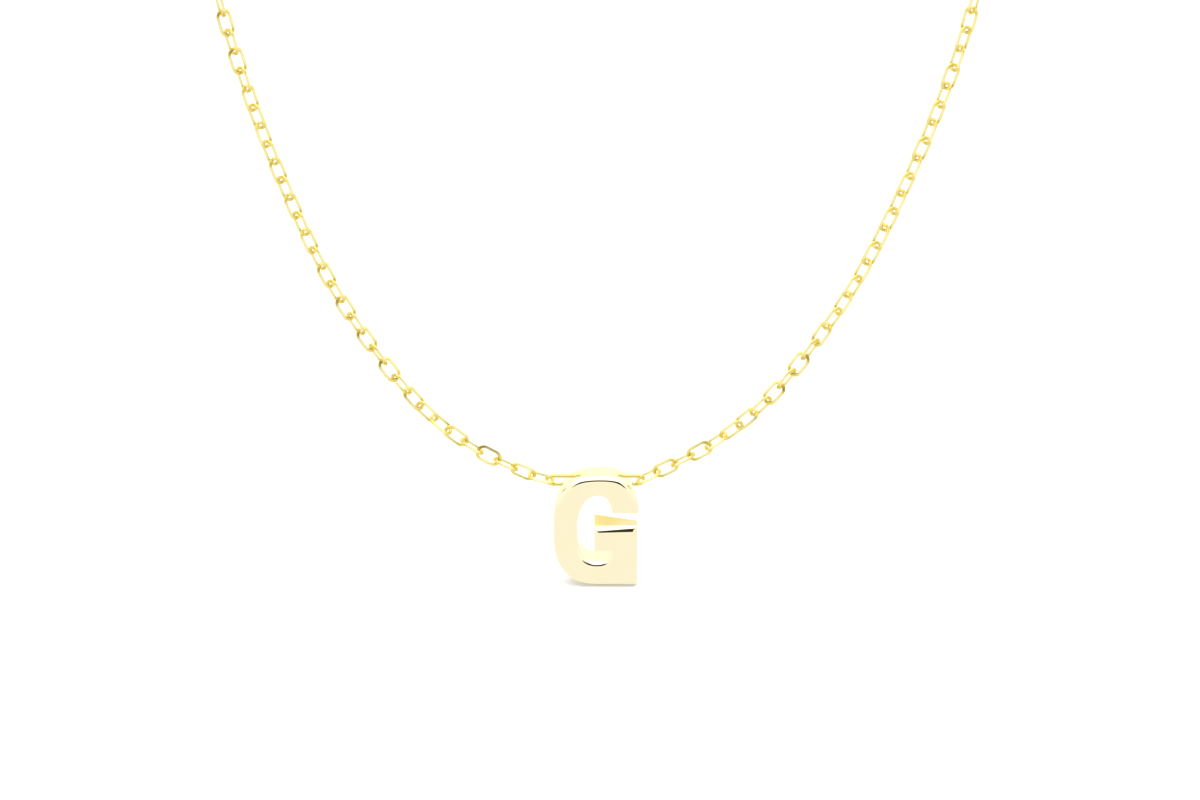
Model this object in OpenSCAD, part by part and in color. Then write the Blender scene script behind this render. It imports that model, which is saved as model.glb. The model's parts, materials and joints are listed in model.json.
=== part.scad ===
// Initial pendant necklace: a block letter hung between the two halves of a fine cable chain.
// Millimetres, +Z up, the letter's face looks along -Y. The origin is the nape, where the loop hangs.

/* [Letter] */
// Height of the letter
letter_h = 9.75; // [9.3:0.05:10.9]
// Width of the letter's oval
letter_w = 7.26; // [7:0.02:7.6]
// Thickness of the letter from front to back
letter_d = 3.05; // [2.6:0.05:3.6]
// Width of the stroke at the left
side_stroke = 2.02; // [1.75:0.01:2.25]
// Height of the stroke at the top
top_stroke = 1.8; // [1.5:0.05:2.1]
// Height of the stroke at the bottom
bottom_stroke = 2.08; // [1.8:0.02:2.4]
// Width of the stem beside the hollow
stem_w = 2.1; // [1.8:0.02:2.3]
// Distance from the oval's middle to the stem's right side
stem_reach = 3.46; // [3.31:0.03:3.55]
// Distance from the letter's top down to the cut end of its upper arm
arm_drop = 3.37; // [3.1:0.01:3.6]
// Open height between the upper arm and the crossbar
mouth_h = 1.16; // [1:0.01:1.5]
// Open height between the crossbar and the stroke at the bottom
hollow_foot = 0.9; // [0.7:0.05:1.1]
// Distance from the stem's right side to the crossbar's free end
bar_reach = 3.66; // [3.4:0.02:4]
// Distance by which the oval's middle stands to the right of the middle between the eyes
letter_x = 0.1; // [0:0.02:0.2]
// Distance by which the oval's crown stands to the right of its middle
crown_x = 0.34; // [0.2:0.02:0.44]
// The same distance for the crown of the hollow
hollow_crown_x = 0.2; // [0.1:0.02:0.3]

/* [Eyes] */
// Distance from the letter's top down to the line on which it swings
swing_drop = 0.77; // [0.67:0.01:0.87]
// Distance from the middle between the eyes to the bend of an eye, at the middle of its wire
eye_reach = 4.09; // [3.9:0.01:4.3]
// Outer width of an eye
eye_w = 1.5; // [1.4:0.02:1.7]
// Wire of the eyes soldered on the shoulders
eye_wire = 0.34; // [0.26:0.02:0.36]
// Turn of the eyes from upright
eye_turn = 33; // [28:1:36]
// Distance from the middle between the eyes to the ends of their legs, inside the letter
eye_root = 0.7; // [0.5:0.05:0.9]

/* [Chain] */
// Wire of the chain's links
link_wire = 0.3; // [0.24:0.02:0.36]
// Outer width of a link
link_w = 1.42; // [1.3:0.02:1.6]
// Distance from one link's middle to the next
link_pitch = 1.615; // [1.515:0.02:1.895]
// Play between two linked wires
play = 0.13; // [0.11:0.01:0.16]
// Play between an eye and the link in it
eye_play = 0.22; // [0.16:0.02:0.26]

/* [Clasp] */
// Radius of the clasp's ring, at the middle of its metal
clasp_r = 2; // [1.8:0.1:3]
// Thickness of the clasp's metal
clasp_wire = 0.9; // [0.7:0.05:1.1]
// Radius of the eye soldered on the clasp, at the middle of its wire
clasp_eye_r = 0.65; // [0.6:0.05:0.9]
// Wire of the clasp's eye
clasp_eye_wire = 0.35; // [0.3:0.05:0.45]
// Thickness of the thumb nub on the clasp
nub_w = 0.6; // [0.5:0.05:0.8]
// Height of the thumb nub above the clasp's metal
nub_h = 0.7; // [0.5:0.1:1]
// Radius of the end ring, at the middle of its wire
end_ring_r = 1.15; // [1.1:0.05:1.6]
// Wire of the end ring
end_ring_wire = 0.45; // [0.35:0.05:0.5]

/* [Hidden] */
$fn = 32;
gold = [1, 0.84, 0.42];

// Squareness of the four quarters of the letter's oval and of its hollow, from the upper right
// round by the left: 2 is an ellipse, more is squarer
outer_powers = [2.8, 2.7, 2.65, 2.65];
hollow_powers = [2.8, 2.1, 2.5, 2.7];
oval_steps = 36;
whole_turn = 360;

// The chain's way from an eye to the nape, measured from the line on which the letter swings:
// distance out on the left half, distance out on the right half, back, up
route = [
    [6.15, 5.35, 0, 0.8], [11.15, 10.25, 0, 3.6], [15.85, 15.25, 0, 8.2], [21.45, 21.1, 0, 16.8],
    [25.85, 25.85, 0, 27.1], [29.05, 29.35, 0, 37.1], [31.4, 31.65, 1, 46], [35, 35, 5, 58],
    [40, 40, 17, 73], [44.7, 44.7, 36, 86], [43.7, 43.7, 57, 94], [34, 34, 78, 98.5],
    [19, 19, 91, 100]
];
nape_back = 94;
nape_up = 100.5;
route_steps = 12;

// How links lie about the chain's run: link counted from the letter, degrees from upright.
// Each link turns another quarter from its neighbour, counted from the clasp.
left_turns = [
    [0, -77], [1, -73], [2, -90], [3, -91], [4, -82], [5, -71], [6, -65], [8, -50],
    [10, -36], [12, -36], [15, -44], [18, -49], [24, -48], [40, -38], [60, 0]
];
right_turns = [
    [0, -77], [1, -83], [2, -90], [3, -80], [4, -71], [5, -57], [6, -49], [8, -38],
    [10, -36], [12, -43], [14, -53], [18, -58], [28, -64], [60, 0]
];

// Clearance of the end ring in the clasp, and depth of the clasp's solder joints
ring_play = 0.15;
solder = 0.2;

// The letter's half sizes and heights, measured from its top
half_w = letter_w / 2;
half_h = letter_h / 2;
hollow_w = (half_w - side_stroke + stem_reach - stem_w) / 2;
hollow_h = (letter_h - top_stroke - bottom_stroke) / 2;
hollow_x = stem_reach - stem_w - hollow_w + hollow_crown_x;
hollow_z = -top_stroke - hollow_h;
bar_top = -arm_drop - mouth_h;
bar_bottom = bottom_stroke + hollow_foot - letter_h;

// Bends of the wires, and where the first and last links hook on
eye_r = (eye_w - eye_wire) / 2;
link_r = (link_w - link_wire) / 2;
past_hook = (link_wire + play) / 2;
link_side = link_pitch + 2 * past_hook - 2 * link_r;
eye_hook = eye_reach - eye_wire / 2 - eye_play + play / 2;
clasp_eye_x = clasp_r + clasp_eye_r + (clasp_wire + clasp_eye_wire) / 2 - solder;
end_ring_x = clasp_r - (clasp_wire + end_ring_wire) / 2 - ring_play + end_ring_r;
left_end = clasp_eye_x + clasp_eye_r - (clasp_eye_wire + play) / 2;
right_end = end_ring_x + end_ring_r - (end_ring_wire + play) / 2;

left_hooks = hooks(chain_trail(0, left_end));
right_hooks = hooks(chain_trail(1, right_end));

// A point of an oval at the angle t, from its crown's upright and its middle height
function oval_point(w, h, off, powers, t) =
    let (
        side = cos(t) < 0 ? w + off : w - off,
        power = powers[sin(t) > 0 ? (cos(t) > 0 ? 0 : 1) : (cos(t) < 0 ? 2 : 3)]
    )
    [side * sign(cos(t)) * pow(abs(cos(t)), 2 / power), h * sign(sin(t)) * pow(abs(sin(t)), 2 / power)];

// The angle at which an oval's right side reaches the height z above its middle
function oval_angle(h, powers, z) =
    asin(sign(z) * pow(abs(z) / h, powers[z > 0 ? 0 : 3] / 2));

function oval_arc(middle, w, h, off, powers, from, to) = [
    for (i = [0 : oval_steps])
        middle + oval_point(w, h, off, powers, from + (to - from) * i / oval_steps)
];

// The letter's outline from the upper arm's cut end, round the outside, and back along the hollow
function letter_outline() =
    let (
        arm_out = oval_angle(half_h, outer_powers, half_h - arm_drop),
        arm_in = oval_angle(hollow_h, hollow_powers, -arm_drop - hollow_z),
        bar_in = oval_angle(hollow_h, hollow_powers, bar_bottom - hollow_z)
    )
    concat(
        oval_arc([crown_x, -half_h], half_w, half_h, crown_x, outer_powers, arm_out, 270),
        [[stem_reach, -letter_h], [stem_reach, bar_top], [stem_reach - bar_reach, bar_top],
         [stem_reach - bar_reach, bar_bottom]],
        oval_arc([hollow_x, hollow_z], hollow_w, hollow_h, hollow_crown_x, hollow_powers,
            bar_in, arm_in - whole_turn)
    );

// A smooth curve through b and c, with a and d before and after them
function curve(a, b, c, d, t) =
    (2 * b + (c - a) * t + (2 * a - 5 * b + 4 * c - d) * t * t + (3 * b - a - 3 * c + d) * t * t * t) / 2;

// Close points along one half of the chain, measured from the line on which the letter swings
function chain_trail(column, end_x) =
    let (
        ways = [for (r = route) [r[column], r[2], r[3]]],
        start = [eye_hook, 0, 0],
        end = [end_x, nape_back, nape_up],
        past_end = [-end_x, nape_back, nape_up],
        p = concat([2 * start - ways[0], start], ways, [end, past_end]),
        last = len(p) - 3
    )
    concat(
        [for (i = [1 : last], j = [0 : route_steps - 1])
            curve(p[i - 1], p[i], p[i + 1], p[i + 2], j / route_steps)],
        [end]
    );

// The points where the links hook into each other, an equal distance apart along the trail
function hooks(trail) =
    let (
        count = len(trail),
        along = [for (i = 0, s = 0; i < count; i = i + 1, s = i < count ? s + norm(trail[i] - trail[i - 1]) : s) s],
        total = along[count - 1],
        links = round(total / link_pitch),
        xs = [for (i = [0 : count - 1]) [along[i], trail[i].x]],
        ys = [for (i = [0 : count - 1]) [along[i], trail[i].y]],
        zs = [for (i = [0 : count - 1]) [along[i], trail[i].z]]
    )
    [for (k = [0 : links])
        let (s = total * k / links) [lookup(s, xs), lookup(s, ys), lookup(s, zs)]];

function link_turn(turns, k, links) = lookup(k, turns) + 90 * (links - 1 - k);

module ring(radius, wire) {
    rotate([90, 0, 0])
        rotate_extrude()
            translate([radius, 0])
                circle(d = wire);
}

// Half a ring that bends round the far side of +X, standing upright
module bend(radius, wire) {
    rotate([90, 0, 0])
        rotate([0, 0, -90])
            rotate_extrude(angle = 180)
                translate([radius, 0])
                    circle(d = wire);
}

module bar(from, to, z, wire) {
    translate([from, 0, z])
        rotate([0, 90, 0])
            cylinder(h = to - from, d = wire);
}

// One upright link, with its run along X
module link() {
    for (side = [0, 180])
        rotate([0, side, 0])
            translate([link_side / 2, 0, 0])
                bend(link_r, link_wire, $fn = 16);
    for (z = [-link_r, link_r])
        bar(-link_side / 2, link_side / 2, z, link_wire, $fn = 16);
}

// The links between the hooks of the half that runs out along +X
module chain(hook_points, turns) {
    links = len(hook_points) - 1;
    for (k = [0 : links - 1]) {
        run = hook_points[k + 1] - hook_points[k];
        translate((hook_points[k] + hook_points[k + 1]) / 2)
            rotate([link_turn(turns, k, links), -asin(run.z / norm(run)), atan2(run.y, run.x)])
                link();
    }
}

// A wire eye at the shoulder on the +X side
module shoulder_eye() {
    rotate([eye_turn, 0, 0]) {
        translate([eye_reach - eye_r, 0, 0])
            bend(eye_r, eye_wire);
        for (z = [-eye_r, eye_r])
            bar(eye_root, eye_reach - eye_r, z, eye_wire);
    }
}

// Moves what is measured from the line on which the letter swings to its place under the nape
module hang() {
    translate([0, -nape_back, -nape_up])
        children();
}

module initial() {
    color(gold)
        hang() {
            translate([letter_x, 0, swing_drop])
                rotate([90, 0, 0])
                    linear_extrude(letter_d, center = true)
                        polygon(letter_outline());
            shoulder_eye();
            mirror([1, 0, 0])
                shoulder_eye();
        }
}

module chain_left() {
    color(gold)
        hang()
            mirror([1, 0, 0])
                chain(left_hooks, left_turns);
}

module chain_right() {
    color(gold)
        hang()
            chain(right_hooks, right_turns);
}

module clasp() {
    color(gold) {
        ring(clasp_r, clasp_wire);
        translate([-clasp_eye_x, 0, 0])
            rotate([90, 0, 0])
                ring(clasp_eye_r, clasp_eye_wire);
        translate([0, 0, clasp_r])
            cylinder(h = clasp_wire / 2 + nub_h, d = nub_w);
    }
}

module end_ring() {
    color(gold)
        translate([end_ring_x, 0, 0])
            rotate([90, 0, 0])
                ring(end_ring_r, end_ring_wire);
}

initial();
chain_left();
chain_right();
clasp();
end_ring();
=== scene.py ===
# Gold letter pendant hung by two shoulder eyes in a fine cable chain
import json
import math
import random

import bmesh
import bpy
from mathutils import Matrix, Vector
from mathutils.geometry import intersect_line_line_2d


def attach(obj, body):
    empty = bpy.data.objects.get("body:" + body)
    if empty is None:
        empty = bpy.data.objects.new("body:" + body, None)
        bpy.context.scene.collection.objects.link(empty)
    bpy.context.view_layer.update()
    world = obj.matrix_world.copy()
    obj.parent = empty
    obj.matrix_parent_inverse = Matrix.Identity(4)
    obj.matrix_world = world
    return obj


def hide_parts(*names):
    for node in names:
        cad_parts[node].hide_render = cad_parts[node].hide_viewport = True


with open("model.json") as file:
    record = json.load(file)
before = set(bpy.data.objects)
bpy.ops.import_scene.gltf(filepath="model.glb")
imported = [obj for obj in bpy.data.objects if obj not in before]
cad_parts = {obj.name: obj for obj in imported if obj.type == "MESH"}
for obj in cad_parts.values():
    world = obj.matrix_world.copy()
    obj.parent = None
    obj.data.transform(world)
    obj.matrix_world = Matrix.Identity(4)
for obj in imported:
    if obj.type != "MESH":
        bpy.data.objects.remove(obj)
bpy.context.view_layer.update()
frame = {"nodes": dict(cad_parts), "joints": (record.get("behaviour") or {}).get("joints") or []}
print("frame:", ", ".join(sorted(frame["nodes"])))

mm = 0.001
weldReach = 1e-7
shortestEdge = 1e-8
swing = Vector(frame["joints"][0]["pos_m"])  # middle of the line on which the letter swings


# Camera, first, at the photo's angle: looking down a little on the letter's face
camera = {
    "aim": Vector((0.4 * mm, swing.y, swing.z + 7.16 * mm)),
    "distance": 300 * mm,
    "above": math.radians(20),
    "lens": 108,
    "sensor": 36,
    "near": 0.01,
}


def addCamera(values):
    data = bpy.data.cameras.new("camera")
    data.lens = values["lens"]
    data.sensor_width = values["sensor"]
    data.clip_start = values["near"]
    eye = bpy.data.objects.new("camera", data)
    back = Vector((0, -math.cos(values["above"]), math.sin(values["above"])))
    eye.location = values["aim"] + back * values["distance"]
    eye.rotation_euler = (-back).to_track_quat("-Z", "Y").to_euler()
    bpy.context.scene.collection.objects.link(eye)
    bpy.context.scene.camera = eye


addCamera(camera)
print("camera: ready")


# Mesh helpers
def newObject(name, vertices, faces, smoothAngle, material):
    mesh = bpy.data.meshes.new(name)
    mesh.from_pydata(vertices, [], faces)
    mesh.validate()
    mesh.polygons.foreach_set("use_smooth", [True] * len(mesh.polygons))
    mesh.set_sharp_from_angle(angle=math.radians(smoothAngle))
    mesh.materials.append(material)
    piece = bpy.data.objects.new(name, mesh)
    bpy.context.scene.collection.objects.link(piece)
    return piece


# Faces between rings of n points each, with a cap at each end unless the last ring meets the first
def ringFaces(count, n, closed=False):
    faces = []
    for i in range(count if closed else count - 1):
        a, b = i * n, (i + 1) % count * n
        for j in range(n):
            k = (j + 1) % n
            faces.append((a + j, a + k, b + k, b + j))
    if not closed:
        faces.append(tuple(range(n - 1, -1, -1)))
        faces.append(tuple(range((count - 1) * n, count * n)))
    return faces


# Wire with the given section swept along a flat path; across is the normal of the path's plane
def sweepWire(path, across, section, closed, swell=None):
    count = len(path)
    vertices = []
    for i, point in enumerate(path):
        before = path[i - 1] if closed or i > 0 else path[i]
        after = path[(i + 1) % count] if closed or i < count - 1 else path[i]
        outward = (after - before).normalized().cross(across)
        size = swell[i] if swell else 1
        for out, side in section:
            vertices.append(point + (outward * out + across * side) * size)
    return vertices, ringFaces(count, len(section), closed)


def roundSection(radius, sides):
    turns = [2 * math.pi * k / sides for k in range(sides)]
    return [(radius * math.cos(t), radius * math.sin(t)) for t in turns]


def circlePath(middle, radius, u, v, steps, start=0.0, sweep=2 * math.pi):
    full = abs(sweep - 2 * math.pi) < 1e-6
    last = steps if full else steps + 1
    turns = [start + sweep * k / steps for k in range(last)]
    return [middle + u * (radius * math.cos(t)) + v * (radius * math.sin(t)) for t in turns]


def joined(parts):
    vertices, faces = [], []
    for partVertices, partFaces in parts:
        base = len(vertices)
        vertices += partVertices
        faces += [tuple(base + k for k in face) for face in partFaces]
    return vertices, faces


# Effect shared by every gold finish: uneven polish, with fine hairlines from wear
polish = {
    "cloudDetail": 3,
    "hairDetail": 4,
    "hairStretch": (1, 1, 9),  # hairlines run mostly one way
    "hairTurn": (0.4, 0.9, 0.3),
    "hairFineness": 5,  # times the cloud's scale
    "cloudRange": (0.3, 0.7),  # cloud tones between which the roughness changes
    "toneRange": (0.35, 0.65),  # cloud tones between which the gold's colour changes
    "depth": 0.01 * mm,  # of the bump
}


def makePolishGroup(v):
    group = bpy.data.node_groups.new("polishMarks", "ShaderNodeTree")
    for name in ("Scale", "Hairlines", "Smoothest", "Roughest"):
        group.interface.new_socket(name, in_out="INPUT", socket_type="NodeSocketFloat")
    for name in ("Tone", "Roughness", "Height"):
        group.interface.new_socket(name, in_out="OUTPUT", socket_type="NodeSocketFloat")
    nodes, links = group.nodes, group.links
    given = nodes.new("NodeGroupInput")
    result = nodes.new("NodeGroupOutput")
    place = nodes.new("ShaderNodeTexCoord")

    cloud = nodes.new("ShaderNodeTexNoise")
    cloud.inputs["Detail"].default_value = v["cloudDetail"]
    links.new(place.outputs["Object"], cloud.inputs["Vector"])
    links.new(given.outputs["Scale"], cloud.inputs["Scale"])
    links.new(cloud.outputs["Fac"], result.inputs["Tone"])

    stretch = nodes.new("ShaderNodeMapping")
    stretch.inputs["Scale"].default_value = v["hairStretch"]
    stretch.inputs["Rotation"].default_value = v["hairTurn"]
    links.new(place.outputs["Object"], stretch.inputs["Vector"])
    finer = nodes.new("ShaderNodeMath")
    finer.operation = "MULTIPLY"
    finer.inputs[1].default_value = v["hairFineness"]
    links.new(given.outputs["Scale"], finer.inputs[0])
    hairs = nodes.new("ShaderNodeTexNoise")
    hairs.inputs["Detail"].default_value = v["hairDetail"]
    links.new(stretch.outputs["Vector"], hairs.inputs["Vector"])
    links.new(finer.outputs["Value"], hairs.inputs["Scale"])

    rough = nodes.new("ShaderNodeMapRange")
    rough.inputs["From Min"].default_value = v["cloudRange"][0]
    rough.inputs["From Max"].default_value = v["cloudRange"][1]
    links.new(given.outputs["Smoothest"], rough.inputs["To Min"])
    links.new(given.outputs["Roughest"], rough.inputs["To Max"])
    links.new(cloud.outputs["Fac"], rough.inputs["Value"])
    links.new(rough.outputs["Result"], result.inputs["Roughness"])

    height = nodes.new("ShaderNodeMath")
    height.operation = "MULTIPLY_ADD"
    links.new(hairs.outputs["Fac"], height.inputs[0])
    links.new(given.outputs["Hairlines"], height.inputs[1])
    links.new(cloud.outputs["Fac"], height.inputs[2])
    links.new(height.outputs["Value"], result.inputs["Height"])
    return group


polishMarks = makePolishGroup(polish)


# Polished yellow gold: a pale and a deep tone, mixed by the uneven polish; painted masks then mix
# in deeper gold as painted reflection and shade
def makeGold(name, values):
    material = bpy.data.materials.new(name)
    material.use_nodes = True
    nodes, links = material.node_tree.nodes, material.node_tree.links
    shader = nodes["Principled BSDF"]
    shader.inputs["Metallic"].default_value = 1
    shader.inputs["Specular Tint"].default_value = (*values["edgeTint"], 1)
    marks = nodes.new("ShaderNodeGroup")
    marks.node_tree = polishMarks
    marks.inputs["Scale"].default_value = values["scale"]
    marks.inputs["Hairlines"].default_value = values["hairlines"]
    marks.inputs["Smoothest"].default_value = values["roughness"][0]
    marks.inputs["Roughest"].default_value = values["roughness"][1]
    ramp = nodes.new("ShaderNodeValToRGB")
    for stop, at, tone in zip(ramp.color_ramp.elements, polish["toneRange"], ("deep", "pale")):
        stop.position = at
        stop.color = (*values[tone], 1)
    links.new(marks.outputs["Tone"], ramp.inputs["Fac"])
    colour = ramp.outputs["Color"]
    # Painted reflection and shade: each painted mask mixes a deeper gold into the colour
    for attribute, paintedLight in values.get("paintedLightTones", {}).items():
        painted = nodes.new("ShaderNodeAttribute")
        painted.attribute_name = attribute
        withPaintedLight = nodes.new("ShaderNodeMix")
        withPaintedLight.data_type = "RGBA"
        withPaintedLight.inputs["B"].default_value = (*paintedLight, 1)
        links.new(painted.outputs["Fac"], withPaintedLight.inputs["Factor"])
        links.new(colour, withPaintedLight.inputs["A"])
        colour = withPaintedLight.outputs["Result"]
    links.new(colour, shader.inputs["Base Color"])
    links.new(marks.outputs["Roughness"], shader.inputs["Roughness"])
    bump = nodes.new("ShaderNodeBump")
    bump.inputs["Strength"].default_value = values["bump"]
    bump.inputs["Distance"].default_value = polish["depth"]
    links.new(marks.outputs["Height"], bump.inputs["Height"])
    links.new(bump.outputs["Normal"], shader.inputs["Normal"])
    return material


finishes = {
    "letter": {
        "pale": (0.80, 0.735, 0.515),
        "deep": (0.79, 0.72, 0.485),
        "paintedLightTones": {
            "barTop": (0.66, 0.5, 0.1),  # painted reflection of the gold above the crossbar's top
            # painted reflection: the eyes mirror the gold beside them
            "eyeWire": (0.70, 0.59, 0.19),
        },
        "edgeTint": (1, 0.97, 0.86),  # colour of the gold where it is seen at a grazing angle
        "roughness": (0.06, 0.14),
        "scale": 450, "hairlines": 0.25, "bump": 0.15,
    },
    "chain": {
        "pale": (0.84, 0.77, 0.42),
        "deep": (0.80, 0.71, 0.34),
        "paintedLightTones": {"jointShadeReflection": (0.74, 0.6, 0.17)},  # painted reflection and shade at the joints, where gold mirrors gold and the links shade each other
        "edgeTint": (1, 0.87, 0.5),
        "roughness": (0.3, 0.42),
        "scale": 700, "hairlines": 0.3, "bump": 0.3,
    },
    "clasp": {
        "pale": (0.76, 0.67, 0.32),
        "deep": (0.72, 0.62, 0.24),
        "edgeTint": (1, 0.87, 0.5),
        "roughness": (0.1, 0.2),
        "scale": 500, "hairlines": 0.5, "bump": 0.3,
    },
}
letterGold = makeGold("letterGold", finishes["letter"])
chainGold = makeGold("chainGold", finishes["chain"])
claspGold = makeGold("claspGold", finishes["clasp"])
print("materials: gold of the letter, chain and clasp")


# Letter: heights count down from its top, widths from the middle of its oval
letter = {
    "height": 9.75 * mm,
    "width": 7.26 * mm,
    "depth": 3.05 * mm,
    "sideStroke": 2.02 * mm,
    "topStroke": 1.8 * mm,
    "bottomStroke": 2.08 * mm,
    "stemWidth": 2.1 * mm,
    "stemReach": 3.46 * mm,
    "armDrop": 3.37 * mm,
    "mouth": 1.16 * mm,
    "barHeight": 2.24 * mm,
    "barReach": 3.66 * mm,
    "right": 0.1 * mm,  # from the middle between the eyes to the middle of the oval
    "aboveSwing": 0.77 * mm,
    "crown": 0.34 * mm,  # from the oval's middle to its crown, and the same for the hollow
    "hollowCrown": 0.2 * mm,
    "outerPowers": (2.8, 2.7, 2.65, 2.65),  # squareness from the upper right round by the left
    "hollowPowers": (2.8, 2.1, 2.5, 2.7),
    "edge": 0.5 * mm,  # radius of the polished edges, front and back
    "edgeSteps": 9,
    "corner": 0.12 * mm,  # softness of the corners
    "cornerSteps": 5,
    "step": 0.14 * mm,  # distance between outline points
    # height added to the bar's top: front left, front right, back left, back right
    "barLift": (-0.13 * mm, 0.05 * mm, 0.3 * mm, -0.4 * mm),
    "liftDepth": 0.6,  # share of the bar's height in which that fades out
    "liftSlack": 0.02 * mm,
    "bevel": 0.16 * mm,  # filed on the bar's front edge, deepest at the right
    "bevelSlope": math.tan(math.radians(26)),
    "bevelFade": 0.1,  # share of the bar's length in which the bevel runs out at the right
    "bevelStep": 2,  # step of the polished edge at which the bevel starts
    "bevelBand": 0.55,  # half the band that the bevel moves, as a share of the polished edge
    "bevelStart": -0.05,  # share of the bar's length from which points may belong to the bevel
    "reflectionRing": -0.2,  # place across the depth where the painted reflection on the crossbar begins
    "outlineSteps": 400,
    "smoothAngle": 50,
}


def quarterOf(t):
    return (0 if math.cos(t) > 0 else 1) if math.sin(t) > 0 else (2 if math.cos(t) < 0 else 3)


# A point of an oval whose crown stands off its middle, at the angle t from its right
def ovalPoint(crown, w, h, off, powers, t):
    c, s = math.cos(t), math.sin(t)
    power = powers[quarterOf(t)]
    reach = w + off if c < 0 else w - off
    x = math.copysign(abs(c) ** (2 / power), c)
    z = math.copysign(abs(s) ** (2 / power), s)
    return Vector((crown[0] + reach * x, crown[1] + h * z))


def ovalAngle(h, powers, z):
    return math.asin(math.copysign((abs(z) / h) ** (powers[0 if z > 0 else 3] / 2), z))


def lengthsTo(points):
    lengths = [0.0]
    for a, b in zip(points, points[1:]):
        lengths.append(lengths[-1] + (b - a).length)
    return lengths


# The same line with points about a step apart
def spaced(points, step):
    out = [points[0]]
    lengths = lengthsTo(points)
    pieces = max(2, round(lengths[-1] / step))
    k = 0
    for i in range(1, pieces):
        goal = lengths[-1] * i / pieces
        while lengths[k + 1] < goal:
            k += 1
        share = (goal - lengths[k]) / (lengths[k + 1] - lengths[k])
        out.append(points[k].lerp(points[k + 1], share))
    out.append(points[-1])
    return out


# The outline's seven sides, anticlockwise, each from one corner to the next
def letterSides(v):
    halfW, halfH = v["width"] / 2, v["height"] / 2
    hollowW = (halfW - v["sideStroke"] + v["stemReach"] - v["stemWidth"]) / 2
    hollowH = (v["height"] - v["topStroke"] - v["bottomStroke"]) / 2
    crown = (v["crown"], -halfH)
    hollowX = v["stemReach"] - v["stemWidth"] - hollowW + v["hollowCrown"]
    hollow = (hollowX, -v["topStroke"] - hollowH)
    barTop = -v["armDrop"] - v["mouth"]
    barBottom = barTop - v["barHeight"]
    armOut = ovalAngle(halfH, v["outerPowers"], halfH - v["armDrop"])
    armIn = ovalAngle(hollowH, v["hollowPowers"], -v["armDrop"] - hollow[1])
    barIn = ovalAngle(hollowH, v["hollowPowers"], barBottom - hollow[1])
    fine = v["outlineSteps"]

    def arc(middle, w, h, off, powers, start, end):
        turns = [start + (end - start) * k / fine for k in range(fine + 1)]
        return [ovalPoint(middle, w, h, off, powers, t) for t in turns]

    outside = arc(crown, halfW, halfH, v["crown"], v["outerPowers"], armOut, 1.5 * math.pi)
    foot = Vector((v["stemReach"], -v["height"]))
    shoulder = Vector((v["stemReach"], barTop))
    barEnd = Vector((v["stemReach"] - v["barReach"], barTop))
    barFoot = Vector((barEnd.x, barBottom))
    inside = arc(hollow, hollowW, hollowH, v["hollowCrown"], v["hollowPowers"],
                 barIn, armIn - 2 * math.pi)
    sides = [
        outside + [foot],
        [foot, shoulder],
        [shoulder, barEnd],
        [barEnd, barFoot],
        [barFoot, inside[0]],
        inside,
        [inside[-1], outside[0]],
    ]
    return [spaced(side, v["step"]) for side in sides]


def insetSide(side, inset):
    out = []
    for i, point in enumerate(side):
        run = (side[min(i + 1, len(side) - 1)] - side[max(i - 1, 0)]).normalized()
        out.append(point + Vector((-run.y, run.x)) * inset)
    return out


# Where two inset sides meet: the crossing, and the last and first points that are kept
def meeting(a, b, reach):
    longA = a + [a[-1] + (a[-1] - a[-2]).normalized() * reach]
    longB = [b[0] - (b[1] - b[0]).normalized() * reach] + b
    for i in range(len(longA) - 2, -1, -1):
        for j in range(len(longB) - 1):
            hit = intersect_line_line_2d(longA[i], longA[i + 1], longB[j], longB[j + 1])
            if hit:
                return hit, i, j - 1
    return (a[-1] + b[0]) / 2, len(a) - 1, 0


# Point of a line at a distance from its start
def along(points, lengths, goal):
    for k in range(len(points) - 1):
        if goal <= lengths[k + 1] or k == len(points) - 2:
            span = lengths[k + 1] - lengths[k]
            return points[k].lerp(points[k + 1], (goal - lengths[k]) / span if span > 0 else 0)


# One ring of the outline, inset and with softened corners; every ring has the same points
def outlineRing(sides, inset, corner, cornerSteps):
    moved = [insetSide(side, inset) for side in sides]
    count = len(moved)
    reach = 3 * inset + corner  # enough for the sharpest corner
    meets = [meeting(moved[k], moved[(k + 1) % count], reach) for k in range(count)]
    trimmed = []
    for k, side in enumerate(moved):
        start, _, firstKept = meets[k - 1]
        end, lastKept, _ = meets[k]
        inner = side[1:-1]
        kept = []
        for i, point in enumerate(inner, 1):
            kept.append(start if i <= firstKept else end if i > lastKept else point)
        full = [start] + kept + [end]
        lengths = lengthsTo(full)
        low, high = corner, lengths[-1] - corner
        goals = [min(max(s, low), high) for s in lengths]
        trimmed.append([along(full, lengths, goal) for goal in goals])
    ring = []
    for k, side in enumerate(trimmed):
        ring += side
        after = trimmed[(k + 1) % count][0]
        middle = meets[k][0]
        for j in range(1, cornerSteps):
            t = j / cornerSteps
            ring.append(side[-1] * (1 - t) ** 2 + middle * 2 * t * (1 - t) + after * t * t)
    return ring


# Height added to the crossbar's top, which was filed by hand and isn't quite level
def barLift(v, x, y, z):
    barTop = -v["armDrop"] - v["mouth"]
    barLeft = v["stemReach"] - v["barReach"]
    depth = v["barHeight"] * v["liftDepth"]
    above = (z - barTop + depth) / depth
    if x < barLeft - v["corner"] or z > barTop + v["liftSlack"] or above <= 0:
        return 0
    u = min(max((x - barLeft) / v["barReach"], 0), 1)
    w = min(max(y / v["depth"] + 0.5, 0), 1)
    frontLeft, frontRight, backLeft, backRight = v["barLift"]
    front = frontLeft + (frontRight - frontLeft) * u
    back = backLeft + (backRight - backLeft) * u
    return (front + (back - front) * w) * min(above, 1) ** 2


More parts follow.
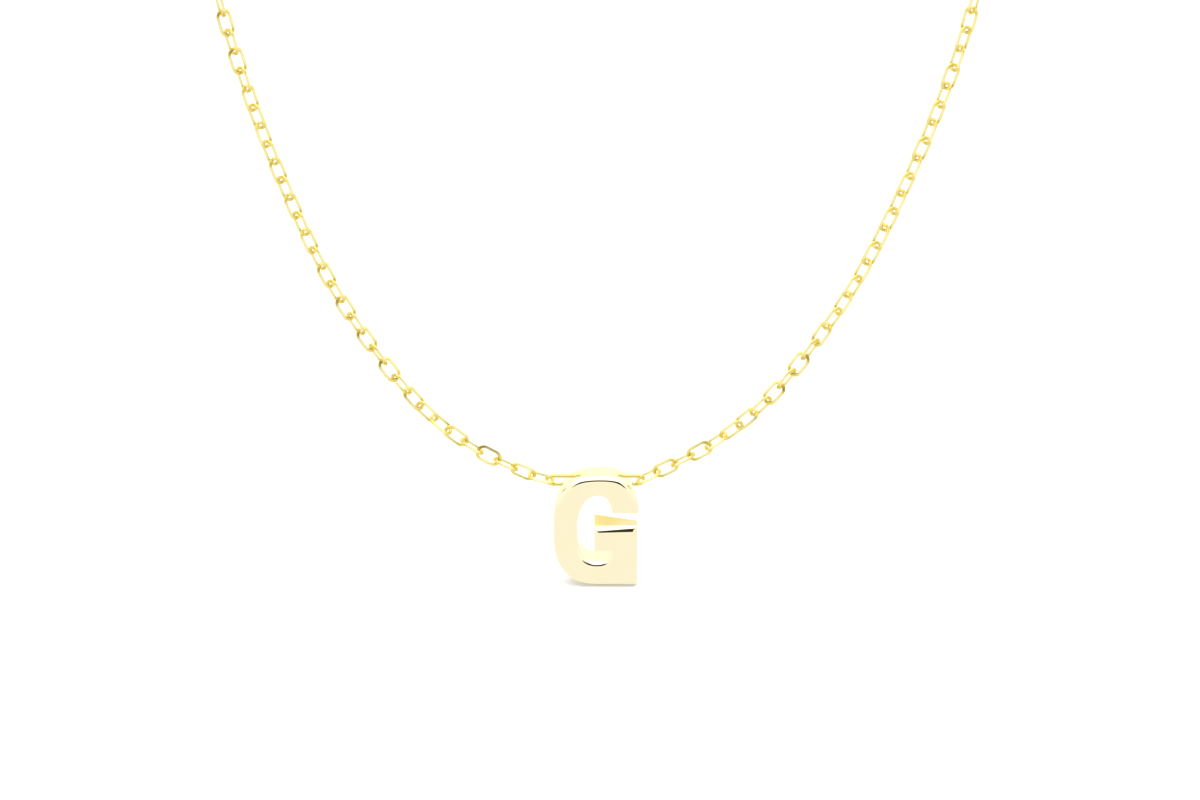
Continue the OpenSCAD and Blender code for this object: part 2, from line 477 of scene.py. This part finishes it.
# Height of the bevel filed on the crossbar's front edge
def barBevel(v, x, z):
    barTop = -v["armDrop"] - v["mouth"]
    share = (x - v["stemReach"] + v["barReach"]) / v["barReach"]
    beside = abs(z - barTop + v["edge"] / 2) < v["edge"] * v["bevelBand"]
    fade = min(max((1 - share) / v["bevelFade"], 0), 1)
    onEdge = beside and share > v["bevelStart"]
    return v["bevel"] * min(max(share, 0), 1) * fade if onEdge else 0


def letterBody(v):
    sides = letterSides(v)
    quarter = [math.pi / 2 * k / v["edgeSteps"] for k in range(v["edgeSteps"] + 1)]
    halfD = v["depth"] / 2
    r = v["edge"]
    edge = [(r * (1 - math.sin(t)), -halfD + r * (1 - math.cos(t))) for t in quarter]
    start = v["bevelStep"]
    profile = [(inset, y, False) for inset, y in edge[:start + 1]]
    profile += [(inset, y, True) for inset, y in edge[start:]]
    # extra ring that gives the painted reflection its front border
    profile.append((0, v["reflectionRing"] * v["depth"], False))
    profile += [(inset, -y, False) for inset, y in reversed(edge)]
    vertices = []
    for inset, y, bevelled in profile:
        for point in outlineRing(sides, inset, v["corner"], v["cornerSteps"]):
            lift = barLift(v, point.x, y, point.y)
            filed = barBevel(v, point.x, point.y) if bevelled else 0
            back = filed * v["bevelSlope"]
            height = point.y + lift + filed + v["aboveSwing"]
            vertices.append(Vector((point.x + v["right"], y + back, height)))
    return vertices, ringFaces(len(profile), len(vertices) // len(profile))


# Eyes: a wire staple on each shoulder, turned as the photo shows, with solder at its roots
eyes = {
    "reach": 4.09 * mm,
    "bend": 0.58 * mm,
    "wire": 0.34 * mm,
    "turn": math.radians(33),
    "root": 0.7 * mm,
    "solder": 0.4,  # how much the wire swells where it meets the letter
    "solderReach": 0.12 * mm,
    "bendSteps": 20,
    "legSteps": 24,
    "sides": 14,
}


# Reach of the letter's oval at a height above the line on which it swings, on one side
def shoulderReach(v, z, side):
    halfH = v["height"] / 2
    power = v["outerPowers"][0 if side > 0 else 1]
    up = min(abs(z - v["aboveSwing"] + halfH) / halfH, 1)
    offset = v["crown"] * side
    half = (v["width"] / 2 - offset) * (1 - up ** power) ** (1 / power)
    return (v["right"] * side + offset) + half


def shoulderEye(v, side):
    run = Vector((side, 0, 0))
    width = Vector((0, -math.sin(v["turn"]), math.cos(v["turn"])))
    middle = run * (v["reach"] - v["bend"])
    root = run * v["root"]
    arc = circlePath(middle, v["bend"], run, width, v["bendSteps"], -math.pi / 2, math.pi)
    legs = [root.lerp(middle, k / v["legSteps"]) for k in range(v["legSteps"])]
    half = width * v["bend"]
    path = [p - half for p in legs] + arc + [p + half for p in reversed(legs)]
    swell = []
    for p in path:
        out = p.x * side - shoulderReach(letter, p.z, side)
        swell.append(1 + v["solder"] * math.exp(-max(out, 0) / v["solderReach"]))
    return sweepWire(path, run.cross(width), roundSection(v["wire"] / 2, v["sides"]), False, swell)


# Where the painted reflections on the letter go
paintedReflectionPlaces = {
    "barFrom": 0.72,  # strength of the painted reflection at the bar's left end; it is full at the right
    "ringSlack": 0.1 * mm,
    "shortOfBack": 0.65,  # of the polished edge
    "barBand": 0.6 * mm,
    "levelFrom": 0.8,  # least upward part of a normal on the bar's top
    "eyeDepth": 0.6 * mm,
    "eyeOut": 0.06 * mm,  # from the letter's side
    "eyeDown": 1 * mm,
}


def makeInitial():
    body = letterBody(letter)
    vertices, faces = joined([body, shoulderEye(eyes, -1), shoulderEye(eyes, 1)])
    vertices = [v + swing for v in vertices]
    piece = newObject("initialDetailed", vertices, faces, letter["smoothAngle"], letterGold)
    bm = bmesh.new()
    bm.from_mesh(piece.data)
    bmesh.ops.remove_doubles(bm, verts=bm.verts, dist=weldReach)
    bmesh.ops.dissolve_degenerate(bm, edges=bm.edges, dist=shortestEdge)
    bmesh.ops.recalc_face_normals(bm, faces=bm.faces)
    bm.to_mesh(piece.data)
    bm.free()
    even = piece.modifiers.new("evenShading", "WEIGHTED_NORMAL")
    even.keep_sharp = True
    paintReflections(piece, letter, paintedReflectionPlaces)
    piece.visible_glossy = False  # the polished letter mirrors the light tent, not itself
    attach(piece, "pendant")
    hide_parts("initial")
    return piece


# Painted reflection: deeper gold on the crossbar's flat top and on the eyes, which mirror the gold
# beside them
def paintReflections(piece, v, paintedLight):
    barReflectionMask = piece.data.attributes.new("barTop", "FLOAT", "POINT")
    eyeReflectionMask = piece.data.attributes.new("eyeWire", "FLOAT", "POINT")
    barTop = swing.z + v["aboveSwing"] - v["armDrop"] - v["mouth"]
    left = v["stemReach"] - v["barReach"] - v["corner"] + v["right"]
    front = v["reflectionRing"] * v["depth"] - paintedLight["ringSlack"]
    back = v["depth"] / 2 - v["edge"] * paintedLight["shortOfBack"]
    for i, vertex in enumerate(piece.data.vertices):
        x, y, z = vertex.co.x, vertex.co.y - swing.y, vertex.co.z
        level = vertex.normal.z > paintedLight["levelFrom"]
        onTop = front < y < back and abs(z - barTop) < paintedLight["barBand"] and x > left and level
        beside = abs(x) - shoulderReach(v, z - swing.z, math.copysign(1, x))
        outside = beside > paintedLight["eyeOut"] and z > swing.z - paintedLight["eyeDown"]
        share = paintedLight["barFrom"] + (1 - paintedLight["barFrom"]) * (x - left) / v["barReach"]
        barReflectionMask.data[i].value = share if onTop else 0
        eyeReflectionMask.data[i].value = 1 if outside and abs(y) < paintedLight["eyeDepth"] else 0


initialPiece = makeInitial()
print("initial:", len(initialPiece.data.polygons), "faces")


# Chain: links of round wire, each with a broad bevel round its front and its back
link = {
    "bend": 0.56 * mm,
    "straight": 0.925 * mm,
    "wire": 0.3 * mm,
    "bevelTurn": 68,  # degrees from the link's outer side to the middle of each bevel
    "bevelHalf": 38,  # degrees from a bevel's middle to its edges
    "bendSteps": 12,
    "endFrom": 0.45 * mm,  # distance from the link's middle at which the painted shade and reflection start
    "endFull": 0.8 * mm,
    "seed": 7,
    "roll": 6,  # degrees
    "yaw": 1,
    "smoothAngle": 28,
}


def linkSection(v):
    radius = v["wire"] / 2
    low, high = v["bevelTurn"] - v["bevelHalf"], v["bevelTurn"] + v["bevelHalf"]
    half = [low / 2, low, high, high + (180 - high) / 3, 180 - (180 - high) / 3]
    turns = [0] + half + [180] + [-t for t in reversed(half)]
    return [(radius * math.cos(math.radians(t)), radius * math.sin(math.radians(t))) for t in turns]


def linkShape(v):
    run, width = Vector((1, 0, 0)), Vector((0, 0, 1))
    path = []
    for end in (1, -1):
        middle = run * (end * v["straight"] / 2)
        path += circlePath(middle, v["bend"], run * end, width * end, v["bendSteps"],
                           -math.pi / 2, math.pi)
    return sweepWire(path, run.cross(width), linkSection(v), True)


# Middle, run and width of every loose link of a packed chain, from the area of its faces
def linkPlaces(node):
    bm = bmesh.new()
    bm.from_mesh(frame["nodes"][node].data)
    bmesh.ops.remove_doubles(bm, verts=bm.verts, dist=weldReach)
    places = []
    for first in bm.faces:
        if first.tag:
            continue
        first.tag = True
        waiting, found = [first], []
        while waiting:
            face = waiting.pop()
            found.append(face)
            for edge in face.edges:
                for other in edge.link_faces:
                    if not other.tag:
                        other.tag = True
                        waiting.append(other)
        places.append(placeOf(found))
    bm.free()
    return places


def placeOf(faces):
    areas = [face.calc_area() for face in faces]
    middles = [face.calc_center_median() for face in faces]
    total = sum(areas)
    middle = sum((m * a for m, a in zip(middles, areas)), Vector()) / total
    spread = Matrix(((0, 0, 0), (0, 0, 0), (0, 0, 0)))
    for m, a in zip(middles, areas):
        d = m - middle
        for i in range(3):
            for j in range(3):
                spread[i][j] += a * d[i] * d[j] / total
    run = mainAxis(spread, Vector((1, 0.3, 0.6)))
    size = run.dot(spread @ run)
    for i in range(3):
        for j in range(3):
            spread[i][j] -= size * run[i] * run[j]
    width = mainAxis(spread, Vector((0.3, 1, 0.7)))
    return middle, run, width


# Direction in which the faces spread most, by repeated multiplication
def mainAxis(spread, guess, rounds=60):
    axis = guess.normalized()
    for _ in range(rounds):
        axis = (spread @ axis).normalized()
    return axis


def makeChain(name, node):
    shapeVertices, shapeFaces = linkShape(link)
    chance = random.Random(link["seed"])
    parts = []
    places = linkPlaces(node)
    for middle, run, width in places:
        turn = Matrix((run, width.cross(run), width)).transposed()
        roll = math.radians(chance.uniform(-link["roll"], link["roll"]))
        yaw = math.radians(chance.uniform(-link["yaw"], link["yaw"]))
        turn = turn @ Matrix.Rotation(roll, 3, "X") @ Matrix.Rotation(yaw, 3, "Z")
        parts.append(([middle + turn @ p for p in shapeVertices], shapeFaces))
    vertices, faces = joined(parts)
    piece = newObject(name, vertices, faces, link["smoothAngle"], chainGold)
    # Painted shade and reflection: deeper gold at each link's ends, where the links meet
    mask = piece.data.attributes.new("jointShadeReflection", "FLOAT", "POINT")
    fadeLength = link["endFull"] - link["endFrom"]
    ends = [(abs(p.x) - link["endFrom"]) / fadeLength for p in shapeVertices]
    mask.data.foreach_set("value", [min(max(share, 0), 1) for share in ends] * len(places))
    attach(piece, "chain")
    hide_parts(node)
    print(name + ":", len(places), "links,", len(faces), "faces")


makeChain("chainLeftDetailed", "chain_left")
makeChain("chainRightDetailed", "chain_right")


# Clasp: a ring with its soldered eye and thumb nub, and the end ring that it holds
clasp = {
    "radius": 2 * mm,
    "wire": 0.9 * mm,
    "eyeRadius": 0.65 * mm,
    "eyeWire": 0.35 * mm,
    "eyeOut": 3.075 * mm,
    "nub": 0.6 * mm,
    "nubTop": 3.15 * mm,
    "nubEdge": 0.12 * mm,
    "endRadius": 1.15 * mm,
    "endWire": 0.45 * mm,
    "endOut": 2.325 * mm,
    "nubSides": 24,
    "nubEdgeSteps": 5,
    "smoothAngle": 40,
}


def turnedKnob(v):
    low, high, r, edge = v["radius"], v["nubTop"], v["nub"] / 2, v["nubEdge"]
    sides, steps = v["nubSides"], v["nubEdgeSteps"]
    profile = [(r, low)]
    for k in range(steps + 1):
        t = math.pi / 2 * k / steps
        profile.append((r - edge + edge * math.cos(t), high - edge + edge * math.sin(t)))
    vertices = []
    for radius, z in profile:
        for j in range(sides):
            t = 2 * math.pi * j / sides
            vertices.append(Vector((radius * math.cos(t), radius * math.sin(t), z)))
    return vertices, ringFaces(len(profile), sides)


# Closed ring of round wire in the plane of u and w
def wireRing(middle, radius, wire, u, w, across, steps, sides):
    path = circlePath(middle, radius, u, w, steps)
    return sweepWire(path, across, roundSection(wire / 2, sides), True)


def makeClasp(v):
    x, y, z = Vector((1, 0, 0)), Vector((0, 1, 0)), Vector((0, 0, 1))
    ring = wireRing(Vector(), v["radius"], v["wire"], x, z, -y, steps=64, sides=24)
    eye = wireRing(x * -v["eyeOut"], v["eyeRadius"], v["eyeWire"], x, y, z, steps=40, sides=16)
    vertices, faces = joined([ring, eye, turnedKnob(v)])
    piece = newObject("claspDetailed", vertices, faces, v["smoothAngle"], claspGold)
    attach(piece, "chain")
    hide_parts("clasp")
    endRing = wireRing(x * v["endOut"], v["endRadius"], v["endWire"], x, y, z, steps=48, sides=18)
    piece = newObject("endRingDetailed", *endRing, v["smoothAngle"], claspGold)
    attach(piece, "chain")
    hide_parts("end_ring")


makeClasp(clasp)
print("clasp and end ring: ready")


# Studio: pale floor just under the letter, and a light tent with a dark opening for the lens
studio = {
    "floorGap": 0.15 * mm,
    "floorSize": 1.6,
    "floorPale": (0.95, 0.96, 0.99),
    "floorPaler": 1.01,  # how much paler the paper's grain gets
    "floorGrain": 40,
    "overhead": 2.4,
    "level": 1.34,
    "below": 1.25,
    "glowFrom": math.radians(20),  # heights between which the light grows to the overhead light
    "glowFull": math.radians(75),
    "groundFull": math.radians(-12),
    "openingLeft": math.radians(32),
    "openingRight": math.radians(43),
    "openingLow": math.radians(13),
    "openingHigh": math.radians(46),
    "openingSoft": math.radians(3),
    "openingGlow": 0.03,
}


def makeFloor(v):
    material = bpy.data.materials.new("floorPaper")
    material.use_nodes = True
    nodes, links = material.node_tree.nodes, material.node_tree.links
    shader = nodes["Principled BSDF"]
    shader.inputs["Roughness"].default_value = 1
    shader.inputs["Specular IOR Level"].default_value = 0
    grain = nodes.new("ShaderNodeTexNoise")
    grain.inputs["Scale"].default_value = v["floorGrain"]
    tone = nodes.new("ShaderNodeValToRGB")
    tone.color_ramp.elements[0].color = (*v["floorPale"], 1)
    tone.color_ramp.elements[1].color = (*[c * v["floorPaler"] for c in v["floorPale"]], 1)
    links.new(grain.outputs["Fac"], tone.inputs["Fac"])
    links.new(tone.outputs["Color"], shader.inputs["Base Color"])
    z = swing.z + letter["aboveSwing"] - letter["height"] - v["floorGap"]
    half = v["floorSize"] / 2
    signs = ((-1, -1), (1, -1), (1, 1), (-1, 1))
    corners = [Vector((sx * half, sy * half + swing.y, z)) for sx, sy in signs]
    floor = newObject("floor", corners, [(0, 1, 2, 3)], 30, material)
    floor.visible_glossy = False  # the gold mirrors the tent's even ground light instead


# Light as a function of direction: level light all round, more overhead, little round the lens
def makeTent(v):
    world = bpy.data.worlds.new("lightTent")
    bpy.context.scene.world = world
    world.use_nodes = True
    nodes, links = world.node_tree.nodes, world.node_tree.links
    light = nodes["Background"]
    light.inputs["Color"].default_value = (1, 1, 1, 1)
    place = nodes.new("ShaderNodeTexCoord")
    parts = nodes.new("ShaderNodeSeparateXYZ")
    links.new(place.outputs["Generated"], parts.inputs["Vector"])

    def math_(operation, a, b=None):
        node = nodes.new("ShaderNodeMath")
        node.operation = operation
        for socket, value in zip(node.inputs, (a, b)):
            if isinstance(value, (int, float)):
                socket.default_value = value
            elif value is not None:
                links.new(value, socket)
        return node.outputs["Value"]

    def fade(value, fromLow, fromHigh, toLow, toHigh):
        node = nodes.new("ShaderNodeMapRange")
        node.interpolation_type = "SMOOTHSTEP"
        links.new(value, node.inputs["Value"])
        names = ("From Min", "From Max", "To Min", "To Max")
        for name, number in zip(names, (fromLow, fromHigh, toLow, toHigh)):
            node.inputs[name].default_value = number
        return node.outputs["Result"]

    height = math_("ARCSINE", parts.outputs["Z"])
    side = math_("ARCTAN2", parts.outputs["X"], math_("MULTIPLY", parts.outputs["Y"], -1))
    glow = fade(height, v["glowFrom"], v["glowFull"], v["level"], v["overhead"])
    ground = fade(height, v["groundFull"], 0, v["below"], v["level"])
    above = math_("GREATER_THAN", height, 0)
    fromGround = math_("MULTIPLY", ground, math_("SUBTRACT", 1, above))
    tent = math_("ADD", math_("MULTIPLY", glow, above), fromGround)
    soft = v["openingSoft"]
    across = math_("MULTIPLY", fade(side, -v["openingLeft"] - soft, -v["openingLeft"] + soft, 0, 1),
                   fade(side, v["openingRight"] - soft, v["openingRight"] + soft, 1, 0))
    upward = math_("MULTIPLY", fade(height, v["openingLow"] - soft, v["openingLow"] + soft, 0, 1),
                   fade(height, v["openingHigh"] - soft, v["openingHigh"] + soft, 1, 0))
    inside = math_("MULTIPLY", across, upward)
    kept = math_("SUBTRACT", 1, math_("MULTIPLY", inside, 1 - v["openingGlow"]))
    links.new(math_("MULTIPLY", tent, kept), light.inputs["Strength"])


makeFloor(studio)
makeTent(studio)
bpy.context.scene.view_settings.view_transform = "Standard"
print("studio: floor and light tent")
